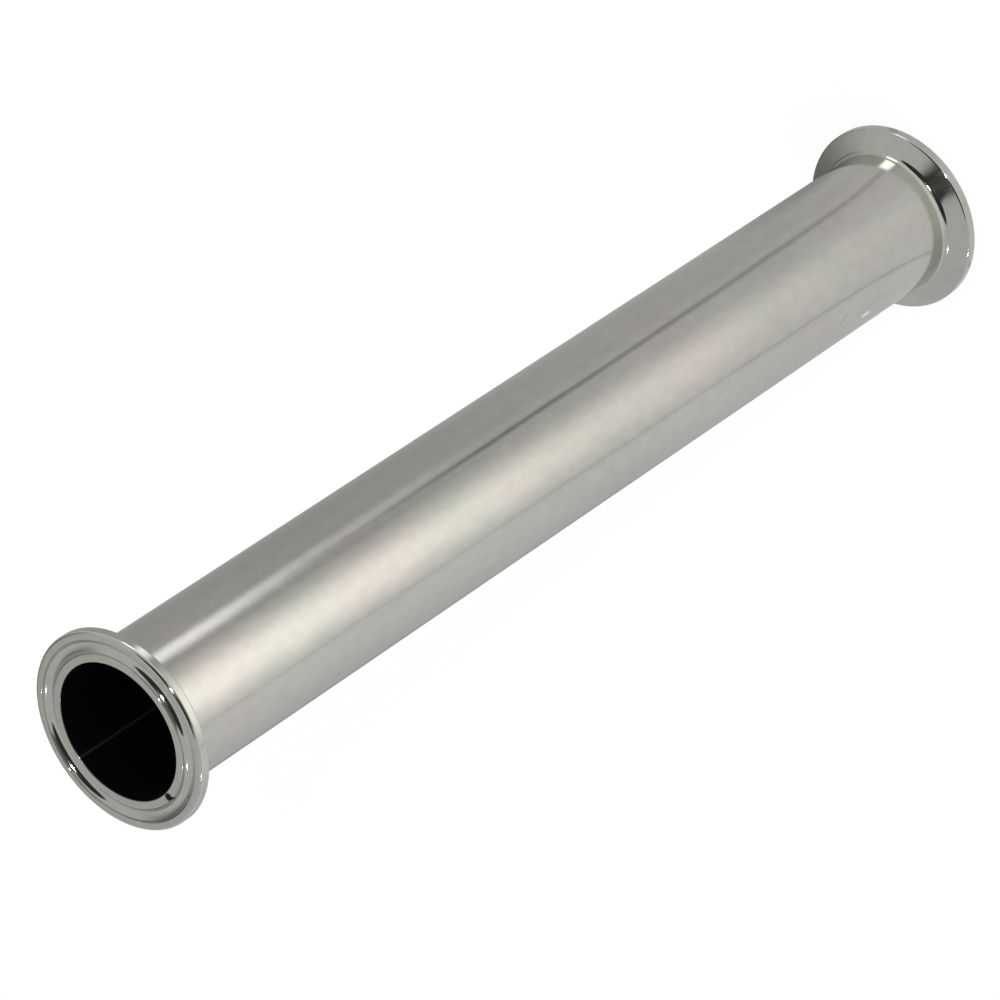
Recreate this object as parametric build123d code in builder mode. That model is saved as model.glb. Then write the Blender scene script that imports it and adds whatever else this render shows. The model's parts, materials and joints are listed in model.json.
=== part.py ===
"""A sanitary spool pipe: a straight polished tube with a clamp ferrule butt-welded to each end.

Millimetres, +Z up along the bore, the spool standing on the sealing face of its bottom ferrule.
The origin is the centre of that face.
"""

import os
from math import radians, tan

from build123d import *

# Driving dimensions.
overall_length = 304.8       # from one sealing face to the other, 12 inches
tube_diameter = 38.1         # outside of the tube and of the ferrules' necks, 1.5 inches
wall = 1.5                   # wall of the tube and of the necks
ferrule_length = 12.7        # from the sealing face to the weld
flange_diameter = 50.5       # over the rim that the clamp goes round
rim_thickness = 2.85         # from the sealing face to the start of the back cone
cone_angle = 20.0            # slope of the back cone that the clamp squeezes
groove_width = 3.6           # across the mouth of the groove
groove_depth = 1.5           # from the sealing face to the groove's floor
groove_edge_radius = 0.2     # softened edges at the groove's mouth
inner_land_share = 7 / 12    # how much of the flat beside the groove lies on its bore side
rim_front_radius = 0.8       # rounding between the sealing face and the rim
rim_back_radius = 0.6        # rounding between the rim and the back cone
neck_radius = 2.0            # hollow fillet between the back cone and the neck
lip_radius = 0.3             # rounding at the mouth of the bore

# Sizes that follow from them.
tube_radius = tube_diameter / 2
bore_radius = tube_radius - wall
flange_radius = flange_diameter / 2
flat_start = bore_radius + lip_radius                # where the flat of the sealing face begins
flat_end = flange_radius - rim_front_radius
spare_flat = flat_end - flat_start - groove_width    # what the groove leaves of it
inner_land = spare_flat * inner_land_share
outer_land = spare_flat - inner_land
groove_radius = flat_start + inner_land + groove_width / 2
groove_edge = min(groove_edge_radius, 0.8 * outer_land)    # its fillets fit the narrower land
cone_height = (flange_radius - tube_radius) * tan(radians(cone_angle))
cone_root = rim_thickness + cone_height
groove_arc_radius = (groove_width**2 / 4 + groove_depth**2) / (2 * groove_depth)
groove_arc_rise = groove_arc_radius - groove_depth


def round_corner(section, radius_from_axis, depth_from_face, rounding):
    """Fillet the corner of a lathe section that lies nearest to the given place."""
    corner = section.vertices().sort_by_distance((radius_from_axis, depth_from_face))[0]
    fillet(corner, rounding)


def turn_ferrule(section_plane):
    """Turn one ferrule from a section: x is the distance from the axis, y the depth below the face."""
    with BuildPart() as turned:
        with BuildSketch(section_plane) as section:
            with BuildLine():
                Polyline(
                    (bore_radius, 0),
                    (flange_radius, 0),
                    (flange_radius, rim_thickness),
                    (tube_radius, cone_root),
                    (tube_radius, ferrule_length),
                    (bore_radius, ferrule_length),
                    close=True,
                )
            make_face()
            round_corner(section, bore_radius, 0, lip_radius)
            round_corner(section, flange_radius, 0, rim_front_radius)
            round_corner(section, flange_radius, rim_thickness, rim_back_radius)
            round_corner(section, tube_radius, cone_root, neck_radius)
            with Locations((groove_radius, -groove_arc_rise)):
                Circle(groove_arc_radius, mode=Mode.SUBTRACT)
            round_corner(section, groove_radius - groove_width / 2, 0, groove_edge)
            round_corner(section, groove_radius + groove_width / 2, 0, groove_edge)
        revolve(axis=Axis.Z)
    return turned


# The bottom ferrule faces down, with its neck rising from the origin.
bottom_ferrule = turn_ferrule(Plane.XZ)

# The top ferrule is the same turning, upside down at the other end.
top_section = Plane(origin=(0, 0, overall_length), x_dir=(1, 0, 0), z_dir=(0, 1, 0))
top_ferrule = turn_ferrule(top_section)

# The tube is cut square and meets the two necks edge to edge, where the welds are ground flush.
with BuildPart() as tube:
    with BuildSketch(Plane.XY.offset(ferrule_length)):
        Circle(tube_radius)
        Circle(bore_radius, mode=Mode.SUBTRACT)
    extrude(amount=overall_length - 2 * ferrule_length)

bottom_ferrule.part.label = "bottom_ferrule"
top_ferrule.part.label = "top_ferrule"
tube.part.label = "tube"

os.makedirs("parts", exist_ok=True)
for piece in (bottom_ferrule, top_ferrule, tube):
    export_step(piece.part, f"parts/{piece.part.label}.step")
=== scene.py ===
"""Dresses the sanitary spool pipe: a turned ferrule at each end of a polished tube, on a studio floor."""

import json
from math import atan, cos, pi, radians, sin, tan

import bmesh
import bpy
from bpy.props import FloatProperty, FloatVectorProperty, IntProperty, PointerProperty
from mathutils import Matrix, Vector


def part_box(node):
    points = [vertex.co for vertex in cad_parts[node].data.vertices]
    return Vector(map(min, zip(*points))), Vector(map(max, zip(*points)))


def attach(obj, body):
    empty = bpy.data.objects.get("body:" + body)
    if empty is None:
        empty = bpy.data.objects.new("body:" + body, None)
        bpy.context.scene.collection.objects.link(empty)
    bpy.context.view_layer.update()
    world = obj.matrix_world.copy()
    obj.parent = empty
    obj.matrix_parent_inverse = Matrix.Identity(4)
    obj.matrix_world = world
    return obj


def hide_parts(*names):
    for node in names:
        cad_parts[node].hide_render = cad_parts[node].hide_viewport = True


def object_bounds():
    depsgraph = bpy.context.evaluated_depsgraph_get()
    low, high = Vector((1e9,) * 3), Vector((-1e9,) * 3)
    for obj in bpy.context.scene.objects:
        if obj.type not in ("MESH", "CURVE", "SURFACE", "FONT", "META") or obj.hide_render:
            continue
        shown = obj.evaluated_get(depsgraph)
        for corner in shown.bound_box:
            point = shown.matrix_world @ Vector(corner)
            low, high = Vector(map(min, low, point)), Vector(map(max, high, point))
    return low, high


bl_info = {
    "name": "Sanitary Spool Pipe",
    "version": (1, 0, 0),
    "blender": (4, 5, 0),
    "location": "View3D > Sidebar > Spool",
    "description": "Makes a clamp-end spool pipe and the studio around it",
    "category": "Add Mesh",
}

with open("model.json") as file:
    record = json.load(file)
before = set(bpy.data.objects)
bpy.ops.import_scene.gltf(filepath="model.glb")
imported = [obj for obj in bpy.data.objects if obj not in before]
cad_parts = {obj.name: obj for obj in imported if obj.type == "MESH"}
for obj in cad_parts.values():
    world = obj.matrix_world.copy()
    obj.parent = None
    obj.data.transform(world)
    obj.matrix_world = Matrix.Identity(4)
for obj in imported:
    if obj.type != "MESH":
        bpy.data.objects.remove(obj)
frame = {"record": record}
CAD_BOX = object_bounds()
MM = 0.001

TUBE_LOW, TUBE_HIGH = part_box("tube")
OVERALL_LENGTH = CAD_BOX[1][2] - CAD_BOX[0][2]
FLANGE_RADIUS = CAD_BOX[1][0]
TUBE_RADIUS = TUBE_HIGH[0]
FERRULE_LENGTH = TUBE_LOW[2]
BORE_MOUNT = next(mount for mount in frame["record"]["mounts"] if mount["name"] == "bore")
BORE_RADIUS = BORE_MOUNT["dims"]["r_mm"] * MM

# How finely the pieces are turned.
ROUNDING_STEPS = 10
GROOVE_STEPS = 24
FLAT_MARGIN = 0.08 * MM
MERGE_DISTANCE = 0.001 * MM
SHARP_ANGLE = radians(35)

# The polish. Each pattern of noise has its scale, its stretch along the three axes and its detail:
# rings are the lathe's, clouds and sway the polisher's, grain the metal's, and blush its pink parts.
PATTERNS = {
    "rings": {"scale": 120, "stretch": (1, 1, 28), "detail": 4.0},
    "cloud": {"scale": 36, "stretch": (1, 1, 0.5), "detail": 2.0},
    "sway": {"scale": 15, "stretch": (1, 1, 0.9), "detail": 0.0},
    "grain": {"scale": 420, "stretch": (1, 1, 0.6), "detail": 3.0},
    "blush": {"scale": 55, "stretch": (1, 1, 0.6), "detail": 1.0, "shift": 3.0},
}
BLUSH_EDGES = (0.35, 0.65)
MIRROR_BLUSH = 0.3
RED_SHARES = (0.97, 1.03)
BLUE_SHARES = (0.96, 0.985)
TUBE_RING_ROUGHNESS = 0.06
FLANGE_RING_ROUGHNESS = 0.03
CLOUD_ROUGHNESS = 0.08
MARK_ROUGHNESS = 0.4
SWAY_WEIGHT = 1.6
GRAIN_WEIGHT = 0.04
MIRROR_WAVINESS = 0.1

# Where the bore's painted shade and duller polish fade out, outside the bore's wall, and where the mirror
# turns into satin along a neck, from the sealing face.
BORE_FADE = (0.05 * MM, 0.25 * MM)
NECK_FADE = (6.6 * MM, 9.5 * MM)

# A painted highlight along the bore: a pale line in the bore's colour that stands in for a lamp's reflection
# stretched along its wall.
BORE_GLINT_HALF_WIDTH = 0.45 * MM
BORE_GLINT_COLOUR = (0.55, 0.55, 0.6, 1)

# Bearings are degrees from +X towards +Y, seen from above.
# Painted reflections on the top face: dark blots that stand in for a dark reflection, each with its distance
# from the axis, bearing and radius.
FACE_DARK_REFLECTIONS = (
    {"distance": 18.8 * MM, "bearing": -172.7, "radius": 1.3 * MM},
    {"distance": 19.9 * MM, "bearing": -171.2, "radius": 1.0 * MM},
)
FACE_REFLECTION_COLOUR = (0.02, 0.02, 0.018, 1)

# Marks on the tube: a real dark scratch, and a nick whose glint is painted as a paler colour. Each has the
# bearing and height of both ends, half the width, and the brightness beside that of the steel.
TUBE_MARKS_AND_GLINT = {
    "nick_painted_glint": {
        "start": (-153.7, 39.6 * MM), "end": (-154.2, 37.4 * MM), "half_width": 1.0 * MM, "brightness": 1.6},
    "scratch": {
        "start": (-145, 50.7 * MM), "end": (-139, 48.6 * MM), "half_width": 0.35 * MM, "brightness": 0.72},
}
BRIGHTEST_STEEL = 0.95

# The share of a blot's radius, and of a line's half width, over which its mark is full.
BLOT_FULL = 0.6
LINE_FULL = 0.4

# The studio. Tones are linear, and a place is a bearing and an elevation.
FLOOR_REACH = 6.0
FLOOR_GLOW = 0.85
FLOOR_STRENGTH = 1.02
CARD_REACH = 1.5
CARD_HEIGHT = 0.2 * MM
ROOM_TONE = 0.47
SKY_TONE = 0.55
WHITE = (1, 1, 1, 1)
MATT_WHITE = (0.9, 0.9, 0.9, 1)

# Darker parts of the sky: the angles from its place where each is full and where it ends.
SHADES = {
    "above_camera": {"place": (-85, 58), "edges": (35.8, 38), "tone": 0.03},
    "low_front": {"place": (-105, 14), "edges": (19, 26), "tone": 0.1},
    "back_wall": {"place": (60, 0), "edges": (12, 56), "tone": 0.16},
}

# Pale screens that stand on the floor: bearing, half the angle that each spans, distance from the
# axis, height and tone. Each is full over a share of its span and fades out towards its ends.
SCREENS = (
    {"bearing": -85, "spread": 85, "distance": 0.5, "height": 0.29, "tone": 0.74},
    {"bearing": -24, "spread": 10, "distance": 0.49, "height": 0.18, "tone": 2.8},
)
SCREEN_FULL = 0.4
SCREEN_STEPS = 24
SCREEN_COLOUR = (1.0, 0.99, 0.96, 1)

# Cards that lie on the floor: bearing, the angles aside from it where each is full and where it
# ends, and two distances from the spool's axis with the tone that it adds there.
CARDS = {
    "front_glow": {"bearing": -105, "edges": (0, 50), "reach": (0.01, 0.33), "gain": (0.06, 0.76)},
    "front_fill": {"bearing": -72, "edges": (15, 45), "reach": (0.03, 0.25), "gain": (0.10, 0.04)},
    "left_wall": {"bearing": -162, "edges": (0, 95), "reach": (0.03, 0.25), "gain": (0.2, 0.24)},
    "back_shade": {"bearing": 106, "edges": (6, 18), "reach": (0.03, 0.25), "gain": (-0.12, -0.12)},
    "right_wall": {"bearing": 20, "edges": (42, 62), "reach": (0.03, 0.25), "gain": (0.04, -0.05)},
    "foot_shade": {"bearing": 50, "edges": (20, 55), "reach": (0.03, 0.08), "gain": (-0.22, -0.03)},
    "strip_lamp": {"bearing": -36, "edges": (2, 14), "reach": (0.31, 0.39), "gain": (0.0, 0.65)},
    "strip_tail": {"bearing": -31, "edges": (2, 11), "reach": (0.23, 0.285), "gain": (0.04, 0.18)},
    "slot_shade": {"bearing": -52, "edges": (2, 9), "reach": (0.19, 0.26), "gain": (0.0, -0.08)},
    "right_seam": {"bearing": -41.5, "edges": (1.4, 5), "reach": (0.03, 0.22), "gain": (-0.1, -0.3)},
    "seam_end": {"bearing": -41.5, "edges": (1.4, 5), "reach": (0.23, 0.3), "gain": (0.0, 0.3)},
    "left_seam": {"bearing": -150.5, "edges": (0.8, 3.2), "reach": (0.02, 0.3), "gain": (-0.15, -0.1)},
}
WARM_CARD = "front_glow"
WARMTH = (0.07, -0.01, -0.1)

# Lamps: place about the spool's middle, radius and power.
LAMPS = {
    "camera_lamp": {"place": (-85, 45), "radius": 0.055, "power": 5},
    "side_lamp": {"place": (176, 37), "radius": 0.035, "power": 1.5},
}
LAMP_DISTANCE = 1.5


# Sizes and colours that a user would change.

class SpoolSizes(bpy.types.PropertyGroup):
    rim_thickness: FloatProperty(
        name="Rim thickness", description="From the sealing face to the back cone",
        default=2.85 * MM, unit="LENGTH")
    cone_angle: FloatProperty(
        name="Cone angle", description="Slope of the cone that the clamp squeezes",
        default=radians(20), subtype="ANGLE")
    groove_width: FloatProperty(
        name="Groove width", description="Across the mouth of the gasket groove",
        default=3.6 * MM, unit="LENGTH")
    groove_depth: FloatProperty(
        name="Groove depth", description="From the sealing face to the groove's floor",
        default=1.5 * MM, unit="LENGTH")
    groove_edge_radius: FloatProperty(
        name="Groove edge radius", description="Softening at the groove's mouth",
        default=0.2 * MM, unit="LENGTH")
    rim_front_radius: FloatProperty(
        name="Rim front radius", description="Rounding between the sealing face and the rim",
        default=0.8 * MM, unit="LENGTH")
    rim_back_radius: FloatProperty(
        name="Rim back radius", description="Rounding between the rim and the back cone",
        default=0.6 * MM, unit="LENGTH")
    neck_radius: FloatProperty(
        name="Neck radius", description="Hollow fillet between the back cone and the neck",
        default=2.0 * MM, unit="LENGTH")
    lip_radius: FloatProperty(
        name="Lip radius", description="Rounding at the mouth of the bore",
        default=0.3 * MM, unit="LENGTH")
    segments: IntProperty(
        name="Segments", description="Steps round each turned piece", default=256, min=24)


class SpoolFinish(bpy.types.PropertyGroup):
    steel: FloatVectorProperty(
        name="Steel", description="Colour of the polished steel",
        default=(0.62, 0.617, 0.59), subtype="COLOR")
    # Painted shade: the bore is given a dark colour in place of the shade that falls inside the tube.
    bore_painted_shade: FloatVectorProperty(
        name="Bore steel", description="Colour of the dull, dark bore",
        default=(0.09, 0.09, 0.1), subtype="COLOR")
    mottle: FloatProperty(
        name="Mottle", description="How much the tone of the steel varies from place to place",
        default=0.2, subtype="FACTOR")
    tube_roughness: FloatProperty(
        name="Tube roughness", description="Satin polish of the tube and necks",
        default=0.13, subtype="FACTOR")
    mirror_roughness: FloatProperty(
        name="Mirror roughness", description="Bright polish of the turned flanges",
        default=0.085, subtype="FACTOR")
    bore_roughness: FloatProperty(
        name="Bore roughness", description="Duller polish inside the bore",
        default=0.3, subtype="FACTOR")
    waviness: FloatProperty(
        name="Waviness", description="Height of the slow waves that polishing leaves",
        default=0.32 * MM, unit="LENGTH")


class SpoolStudio(bpy.types.PropertyGroup):
    camera_elevation: FloatProperty(
        name="Camera elevation", description="How steeply the camera looks down",
        default=radians(41.24), subtype="ANGLE")
    camera_roll: FloatProperty(
        name="Camera roll", description="Turn of the camera about its own line of sight",
        default=radians(123.81), subtype="ANGLE")
    camera_distance: FloatProperty(
        name="Camera distance", description="From the camera to its aim", default=1.414, unit="LENGTH")
    camera_aim: FloatVectorProperty(
        name="Camera aim", description="Point that the camera looks at",
        default=(-0.0045, 0.0, 0.1698), subtype="TRANSLATION", unit="LENGTH")
    lens: FloatProperty(name="Lens", description="Focal length in millimetres", default=210.1)


# Places round the spool.

def direction(bearing, elevation=0):
    """Unit vector towards a bearing and an elevation in degrees."""
    turn, tilt = radians(bearing), radians(elevation)
    return Vector((cos(turn) * cos(tilt), sin(turn) * cos(tilt), sin(tilt)))


def around(bearing, distance, height):
    """The point at a bearing, a distance from the spool's axis and a height."""
    return direction(bearing) * distance + Vector((0, 0, height))


# Lathe work.

def rounded(corners):
    """Turn (place, rounding) corners of a closed section into an outline with true arcs."""
    outline = []
    for index, (here, rounding) in enumerate(corners):
        if not rounding:
            outline.append(here)
            continue
        back = (corners[index - 1][0] - here).normalized()
        ahead = (corners[(index + 1) % len(corners)][0] - here).normalized()
        half = back.angle(ahead) / 2
        centre = here + (back + ahead).normalized() * rounding / sin(half)
        first = here + back * rounding / tan(half) - centre
        sweep = first.angle_signed(here + ahead * rounding / tan(half) - centre)
        for step in range(ROUNDING_STEPS + 1):
            turn = Matrix.Rotation(-sweep * step / ROUNDING_STEPS, 2)
            outline.append(centre + turn @ first)
    return outline


def braced(outline):
    """Add a point just inside both ends of each long straight run, so that flats shade flat."""
    points = []
    for index, here in enumerate(outline):
        following = outline[(index + 1) % len(outline)]
        points.append(here)
        run = following - here
        if run.length > 5 * FLAT_MARGIN:
            points.append(here + run.normalized() * FLAT_MARGIN)
            points.append(following - run.normalized() * FLAT_MARGIN)
    return points


def ferrule_outline(sizes):
    """The lathe section of a ferrule: x is the distance from the axis, y the depth below the face."""
    cone_root = sizes.rim_thickness + (FLANGE_RADIUS - TUBE_RADIUS) * tan(sizes.cone_angle)
    groove_middle = (BORE_RADIUS + FLANGE_RADIUS) / 2
    half_width = sizes.groove_width / 2
    arc_radius = (half_width**2 + sizes.groove_depth**2) / (2 * sizes.groove_depth)
    rise = arc_radius - sizes.groove_depth
    half_sweep = atan(half_width / rise)
    groove = []
    for step in range(GROOVE_STEPS + 1):
        angle = half_sweep * (2 * step / GROOVE_STEPS - 1)
        place = Vector((groove_middle + arc_radius * sin(angle), arc_radius * cos(angle) - rise))
        groove.append((place, sizes.groove_edge_radius if step in (0, GROOVE_STEPS) else 0))
    corners = [
        (Vector((BORE_RADIUS, 0)), sizes.lip_radius),
        *groove,
        (Vector((FLANGE_RADIUS, 0)), sizes.rim_front_radius),
        (Vector((FLANGE_RADIUS, sizes.rim_thickness)), sizes.rim_back_radius),
        (Vector((TUBE_RADIUS, cone_root)), sizes.neck_radius),
        (Vector((TUBE_RADIUS, FERRULE_LENGTH)), 0),
        (Vector((BORE_RADIUS, FERRULE_LENGTH)), 0),
    ]
    return braced(rounded(corners))


def made(name, shape):
    """Turn a finished bmesh into an object of the scene."""
    mesh = bpy.data.meshes.new(name)
    shape.to_mesh(mesh)
    shape.free()
    thing = bpy.data.objects.new(name, mesh)
    bpy.context.scene.collection.objects.link(thing)
    return thing


def turned(name, outline, segments):
    """Spin a closed outline of (radius, height) points about the bore's axis."""
    shape = bmesh.new()
    ring = [shape.verts.new((point.x, 0.0, point.y)) for point in outline]
    edges = [shape.edges.new((ring[index - 1], ring[index])) for index in range(len(ring))]
    bmesh.ops.spin(
        shape, geom=ring + edges, cent=(0, 0, 0), axis=(0, 0, 1), angle=2 * pi,
        steps=segments, use_merge=True)
    bmesh.ops.remove_doubles(shape, verts=shape.verts, dist=MERGE_DISTANCE)
    bmesh.ops.recalc_face_normals(shape, faces=shape.faces)
    piece = made(name, shape)
    piece.data.shade_smooth()
    piece.data.set_sharp_from_angle(angle=SHARP_ANGLE)
    return piece


# Shader maths.

class Signal:
    """What a socket gives, on which Python's operators make Math nodes."""

    def __init__(self, tree, socket):
        self.tree = tree
        self.socket = socket

    def __add__(self, other):
        return self.tree.math("ADD", self, other)

    def __sub__(self, other):
        return self.tree.math("SUBTRACT", self, other)

    def __rsub__(self, other):
        return self.tree.math("SUBTRACT", other, self)

    def __mul__(self, other):
        return self.tree.math("MULTIPLY", self, other)

    def __truediv__(self, other):
        return self.tree.math("DIVIDE", self, other)

    def __rtruediv__(self, other):
        return self.tree.math("DIVIDE", other, self)

    __radd__ = __add__
    __rmul__ = __mul__


class Tree:
    """A node tree that is filled by expressions."""

    def __init__(self, tree):
        self.tree = tree
        tree.nodes.clear()

    def node(self, kind, settings=None, inputs=None, output=0):
        """Add a node: its settings first, then the values or links of its sockets."""
        node = self.tree.nodes.new(kind)
        for name, value in (settings or {}).items():
            setattr(node, name, value)
        for name, value in (inputs or {}).items():
            if isinstance(value, Signal):
                self.tree.links.new(value.socket, node.inputs[name])
            else:
                node.inputs[name].default_value = value
        return Signal(self, node.outputs[output]) if node.outputs else None

    def math(self, operation, *values):
        """Work on numbers."""
        return self.node("ShaderNodeMath", {"operation": operation}, dict(enumerate(values)))

    def vector_math(self, operation, first, second, output):
        """Work on two vectors."""
        return self.node(
            "ShaderNodeVectorMath", {"operation": operation}, {0: first, 1: second}, output)

    def split(self, vector):
        """The three components of a vector."""
        source = self.node("ShaderNodeSeparateXYZ", {}, {0: vector}).socket.node
        return [Signal(self, output) for output in source.outputs]

    def cylindrical(self, place):
        """How far a place lies east, north and up, and its distance from the upright axis."""
        east, north, up = self.split(place)
        return east, north, up, self.math("SQRT", east * east + north * north)

    def aside(self, east, north, distance, bearing):
        """The angle about the axis, in radians, between a place and a bearing."""
        heading = direction(bearing)
        return self.math("ARCCOSINE", (east * heading.x + north * heading.y) / distance)

    def ramp(self, value, low, high, to_low=0.0, to_high=1.0, smooth=False):
        """Run from one result to another as a value goes from low to high, and no further."""
        kind = "SMOOTHSTEP" if smooth else "LINEAR"
        return self.node("ShaderNodeMapRange", {"interpolation_type": kind}, {
            "Value": value, "From Min": low, "From Max": high,
            "To Min": to_low, "To Max": to_high})

    def fade(self, value, full, end):
        """One up to the first value and nothing past the second, softly."""
        return self.ramp(value, full, end, 1.0, 0.0, smooth=True)

    def noise(self, place, scale, stretch, detail, shift=0.0):
        """Fractal noise in object space, stretched along the axes."""
        mapped = self.node("ShaderNodeMapping", {}, {
            "Vector": place, "Scale": stretch, "Location": (shift, shift, shift)})
        return self.node(
            "ShaderNodeTexNoise", {}, {"Vector": mapped, "Scale": scale, "Detail": detail})

    def blot(self, place, centre, radius):
        """A soft round mask about a point."""
        away = self.vector_math("DISTANCE", place, centre, "Value")
        return self.fade(away, radius * BLOT_FULL, radius)

    def line(self, place, start, end, half_width):
        """A soft mask about the straight line between two points."""
        run = end - start
        offset = self.vector_math("SUBTRACT", place, start, "Vector")
        along = self.vector_math("DOT_PRODUCT", offset, run / run.length_squared, "Value")
        held = self.ramp(along, 0.0, 1.0)
        nearest = self.node("ShaderNodeVectorMath", {"operation": "SCALE"}, {0: run, "Scale": held})
        away = self.vector_math("DISTANCE", offset, nearest, "Value")
        return self.fade(away, half_width * LINE_FULL, half_width)

    def colour(self, red, green, blue):
        """A colour of three numbers."""
        return self.node("ShaderNodeCombineColor", {}, {0: red, 1: green, 2: blue})

    def mix(self, factor, first, second):
        """Blend two colours."""
        sockets = {0: factor, 6: first, 7: second}
        return self.node("ShaderNodeMix", {"data_type": "RGBA"}, sockets, output=2)

    def ray(self, kind):
        """One for rays of a kind, such as Camera or Glossy."""
        return self.node("ShaderNodeLightPath", output=f"Is {kind} Ray")

    def glow(self, colour, strength=1.0):
        """Light that a surface gives off."""
        return self.node("ShaderNodeEmission", {}, {"Color": colour, "Strength": strength})

    def mix_shaders(self, factor, first, second):
        """Blend two shaders."""
        return self.node("ShaderNodeMixShader", {}, {0: factor, 1: first, 2: second})

    def surface(self, shader, target="Material"):
        """Give the shader to the tree's output."""
        self.node(f"ShaderNodeOutput{target}", {}, {"Surface": shader})


def blend(first, second, share):
    """The number that lies a share of the way from one to another."""
    return first + (second - first) * share


def new_material(name):
    """An empty material and its tree."""
    material = bpy.data.materials.new(name)
    material.use_nodes = True
    return material, Tree(material.node_tree)


# Finishes.

def steel_material(name, finish, mirror):
    """Polished stainless steel with fine rings of polish; a ferrule is a mirror but for its neck."""
    material, tree = new_material(name)
    place = tree.node("ShaderNodeTexCoord", output="Object")
    _, _, height, radius = tree.cylindrical(place)
    inner, outer = (BORE_RADIUS + edge for edge in BORE_FADE)
    inside = tree.ramp(radius, inner, outer, 1.0, 0.0)
    rings, cloud, sway, grain = (
        tree.noise(place, **PATTERNS[kind]) for kind in ("rings", "cloud", "sway", "grain"))

    pink = MIRROR_BLUSH if mirror else tree.ramp(tree.noise(place, **PATTERNS["blush"]), *BLUSH_EDGES)
    tone = 1.0 + (grain - 0.5) * finish.mottle + (cloud - 0.5) * finish.mottle
    red, green, blue = finish.steel
    steel = tree.colour(
        tone * red * blend(*RED_SHARES, pink), tone * green, tone * blue * blend(*BLUE_SHARES, pink))
    # Painted highlight: a pale line along the bore wall stands in for a lamp's reflection.
    bore_glint = tree.line(
        place, around(90, BORE_RADIUS, 0), around(90, BORE_RADIUS, OVERALL_LENGTH), BORE_GLINT_HALF_WIDTH)
    # Painted shade: the bore wall takes a dark colour in place of the shade inside the tube.
    bore = tree.mix(bore_glint, (*finish.bore_painted_shade, 1), BORE_GLINT_COLOUR)
    colour = tree.mix(inside, steel, bore)

    roughness = finish.tube_roughness + (rings - 0.5) * TUBE_RING_ROUGHNESS
    roughness = roughness + (cloud - 0.5) * CLOUD_ROUGHNESS
    if mirror:
        nearest = tree.math("MINIMUM", height, OVERALL_LENGTH - height)
        neck = tree.ramp(nearest, *NECK_FADE, smooth=True)
        flange = finish.mirror_roughness + (rings - 0.5) * FLANGE_RING_ROUGHNESS
        roughness = blend(flange, roughness, neck)
        # Painted reflection: dark blots on the mirror face stand in for a dark reflection.
        for spot in FACE_DARK_REFLECTIONS:
            centre = around(spot["bearing"], spot["distance"], OVERALL_LENGTH)
            mark_and_painted_light = tree.blot(place, centre, spot["radius"])
            colour = tree.mix(mark_and_painted_light, colour, FACE_REFLECTION_COLOUR)
            roughness = roughness + mark_and_painted_light * MARK_ROUGHNESS
    else:
        # Painted highlight: the nick's glint is a colour paler than the steel; the scratch is a real darker
        # mark.
        for scratch in TUBE_MARKS_AND_GLINT.values():
            start, end = (
                around(bearing, TUBE_RADIUS, level) for bearing, level in (scratch["start"], scratch["end"]))
            mark_and_painted_light = tree.line(place, start, end, scratch["half_width"])
            tint = (min(part * scratch["brightness"], BRIGHTEST_STEEL) for part in finish.steel)
            colour = tree.mix(mark_and_painted_light, colour, (*tint, 1))
            roughness = roughness + mark_and_painted_light * MARK_ROUGHNESS
    roughness = blend(roughness, finish.bore_roughness, inside)

    bump = tree.node("ShaderNodeBump", {}, {
        "Strength": 1.0,
        "Distance": finish.waviness * (MIRROR_WAVINESS if mirror else 1.0),
        "Height": sway * SWAY_WEIGHT + cloud + grain * GRAIN_WEIGHT,
    })
    tree.surface(tree.node("ShaderNodeBsdfPrincipled", {}, {
        "Base Color": colour, "Metallic": 1.0, "Roughness": roughness, "Normal": bump}))
    return material


# The stage.

def add_stage(name, shape, material):
    """Make a floor or a card, which isn't part of the spool, with its material."""
    prop = made(name, shape)
    prop.data.materials.append(material)
    return prop


def hide_from_view(prop):
    """Leave a card or screen to the reflections alone."""
    prop.visible_camera = False
    prop.visible_diffuse = False
    prop.visible_shadow = False


def make_floor():
    """A white floor that keeps a faint shadow, and that metal sees as white too."""
    shape = bmesh.new()
    bmesh.ops.create_grid(shape, x_segments=1, y_segments=1, size=FLOOR_REACH)
    material, tree = new_material("white_floor")
    matt = tree.node("ShaderNodeBsdfDiffuse", {}, {"Color": MATT_WHITE})
    seen = tree.ray("Camera") + tree.ray("Glossy") + tree.ray("Transmission")
    tree.surface(tree.mix_shaders(seen * FLOOR_GLOW, matt, tree.glow(WHITE, FLOOR_STRENGTH)))
    add_stage("floor", shape, material)


def make_cards():
    """Grey and white cards laid on the floor round the spool, which only its reflections see."""
    shape = bmesh.new()
    bmesh.ops.create_circle(shape, cap_ends=True, segments=96, radius=CARD_REACH)
    bmesh.ops.translate(shape, verts=shape.verts, vec=(0, 0, CARD_HEIGHT))
    material, tree = new_material("studio_cards")
    east, north, _, distance = tree.cylindrical(tree.node("ShaderNodeTexCoord", output="Object"))
    tone = ROOM_TONE
    gains = {}
    for name, card in CARDS.items():
        full, end = (radians(edge) for edge in card["edges"])
        across = tree.fade(tree.aside(east, north, distance, card["bearing"]), full, end)
        gains[name] = across * tree.ramp(distance, *card["reach"], *card["gain"])
        tone = tone + gains[name]
    tree.surface(tree.glow(tree.colour(*(tone + gains[WARM_CARD] * warmth for warmth in WARMTH))))
    hide_from_view(add_stage("floor_cards", shape, material))


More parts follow.
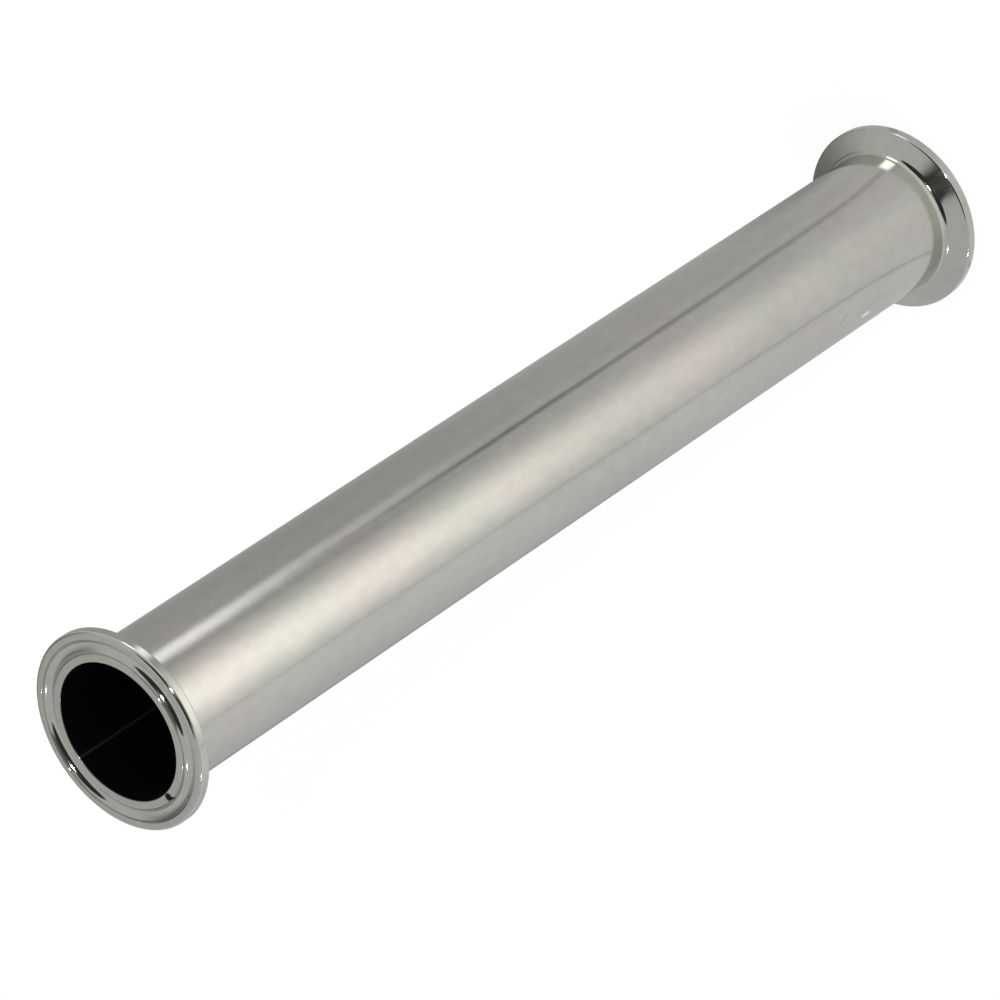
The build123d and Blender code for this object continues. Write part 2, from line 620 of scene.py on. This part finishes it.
def make_screens():
    """Pale screens standing round the spool, which only its reflections see."""
    for number, screen in enumerate(SCREENS, 1):
        name = f"screen_{number}"
        start = screen["bearing"] - screen["spread"]
        shape = bmesh.new()
        ends = [shape.verts.new(around(start, screen["distance"], level)) for level in (0, screen["height"])]
        edge = shape.edges.new(ends)
        bmesh.ops.spin(
            shape, geom=[*ends, edge], cent=(0, 0, 0), axis=(0, 0, 1),
            angle=radians(2 * screen["spread"]), steps=SCREEN_STEPS)
        material, tree = new_material(name)
        east, north, _, distance = tree.cylindrical(tree.node("ShaderNodeTexCoord", output="Object"))
        spread = radians(screen["spread"])
        cover = tree.fade(
            tree.aside(east, north, distance, screen["bearing"]), SCREEN_FULL * spread, spread)
        clear = tree.node("ShaderNodeBsdfTransparent")
        tree.surface(tree.mix_shaders(cover, clear, tree.glow(SCREEN_COLOUR, screen["tone"])))
        hide_from_view(add_stage(name, shape, material))


def make_sky(scene):
    """A pale room with darker walls, which only reflections see."""
    scene.world = bpy.data.worlds.new("studio")
    scene.world.use_nodes = True
    tree = Tree(scene.world.node_tree)
    east, north, up = tree.split(tree.node("ShaderNodeTexCoord", output="Generated"))
    tone = SKY_TONE
    for shade in SHADES.values():
        heart = direction(*shade["place"])
        away = tree.math("ARCCOSINE", east * heart.x + north * heart.y + up * heart.z)
        cover = tree.fade(away, *(radians(edge) for edge in shade["edges"]))
        tone = blend(tone, shade["tone"], cover)
    room, white, soft = (
        tree.node("ShaderNodeBackground", {}, {"Color": colour, "Strength": 1.0})
        for colour in (tree.colour(tone, tone, tone), WHITE, MATT_WHITE))
    unseen = tree.mix_shaders(tree.ray("Glossy"), soft, room)
    tree.surface(tree.mix_shaders(tree.ray("Camera"), unseen, white), "World")


def make_lamps(scene):
    """Small round lamps, whose reflections sparkle on the turned edges."""
    for name, lamp in LAMPS.items():
        data = bpy.data.lights.new(name, "AREA")
        data.shape = "DISK"
        data.size = 2 * lamp["radius"]
        data.energy = lamp["power"]
        holder = bpy.data.objects.new(name, data)
        scene.collection.objects.link(holder)
        towards = direction(*lamp["place"])
        holder.location = towards * LAMP_DISTANCE + Vector((0, 0, OVERALL_LENGTH / 2))
        holder.rotation_euler = towards.to_track_quat("Z", "Y").to_euler()
        holder.visible_camera = False


def make_camera(scene, studio):
    """A camera that looks down from the front and is rolled, so that the upright spool lies aslant."""
    data = bpy.data.cameras.new("camera")
    data.sensor_width = 36.0
    data.lens = studio.lens
    camera = bpy.data.objects.new("camera", data)
    scene.collection.objects.link(camera)
    level = Matrix.Rotation(pi / 2 - studio.camera_elevation, 4, "X")
    rolled = level @ Matrix.Rotation(-studio.camera_roll, 4, "Z")
    back = rolled.to_3x3() @ Vector((0, 0, studio.camera_distance))
    camera.matrix_world = Matrix.Translation(Vector(studio.camera_aim) + back) @ rolled
    scene.camera = camera


# Operators.

def add_piece(piece, node, material):
    """Put a finished piece on the frame in place of its plain solid."""
    piece.data.materials.append(material)
    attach(piece, "root")
    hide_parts(node)


class SPOOL_OT_tube(bpy.types.Operator):
    """Make the polished tube."""
    bl_idname = "spool.tube"
    bl_label = "Tube"

    def execute(self, context):
        scene = context.scene
        low, high = FERRULE_LENGTH, OVERALL_LENGTH - FERRULE_LENGTH
        outline = [Vector(point) for point in (
            (BORE_RADIUS, low), (TUBE_RADIUS, low), (TUBE_RADIUS, high), (BORE_RADIUS, high))]
        piece = turned("tube_polished", outline, scene.spool_sizes.segments)
        material = steel_material("satin_steel", scene.spool_finish, mirror=False)
        add_piece(piece, "tube", material)
        return {"FINISHED"}


class SPOOL_OT_ferrules(bpy.types.Operator):
    """Turn the two clamp ferrules."""
    bl_idname = "spool.ferrules"
    bl_label = "Ferrules"

    def execute(self, context):
        scene = context.scene
        section = ferrule_outline(scene.spool_sizes)
        material = steel_material("mirror_steel", scene.spool_finish, mirror=True)
        for node in ("bottom_ferrule", "top_ferrule"):
            outline = section
            if node == "top_ferrule":
                outline = [Vector((point.x, OVERALL_LENGTH - point.y)) for point in section]
            piece = turned(node + "_turned", outline, scene.spool_sizes.segments)
            add_piece(piece, node, material)
        return {"FINISHED"}


class SPOOL_OT_studio(bpy.types.Operator):
    """Set up the floor, the cards, the screens, the sky, the lamps and the camera."""
    bl_idname = "spool.studio"
    bl_label = "Studio"

    def execute(self, context):
        scene = context.scene
        scene.view_settings.view_transform = "Standard"
        make_floor()
        make_cards()
        make_screens()
        make_sky(scene)
        make_lamps(scene)
        make_camera(scene, scene.spool_studio)
        return {"FINISHED"}


class SPOOL_PT_panel(bpy.types.Panel):
    """Lists the spool's operators."""
    bl_idname = "SPOOL_PT_panel"
    bl_label = "Spool pipe"
    bl_space_type = "VIEW_3D"
    bl_region_type = "UI"
    bl_category = "Spool"

    def draw(self, context):
        for operator in (SPOOL_OT_tube, SPOOL_OT_ferrules, SPOOL_OT_studio):
            self.layout.operator(operator.bl_idname)


CLASSES = (
    SpoolSizes, SpoolFinish, SpoolStudio,
    SPOOL_OT_tube, SPOOL_OT_ferrules, SPOOL_OT_studio, SPOOL_PT_panel,
)


def register():
    for cls in CLASSES:
        bpy.utils.register_class(cls)
    bpy.types.Scene.spool_sizes = PointerProperty(type=SpoolSizes)
    bpy.types.Scene.spool_finish = PointerProperty(type=SpoolFinish)
    bpy.types.Scene.spool_studio = PointerProperty(type=SpoolStudio)


def unregister():
    del bpy.types.Scene.spool_sizes
    del bpy.types.Scene.spool_finish
    del bpy.types.Scene.spool_studio
    for cls in reversed(CLASSES):
        bpy.utils.unregister_class(cls)


def main():
    register()
    bpy.ops.spool.tube()
    bpy.ops.spool.ferrules()
    bpy.ops.spool.studio()


if __name__ == "__main__":
    main()
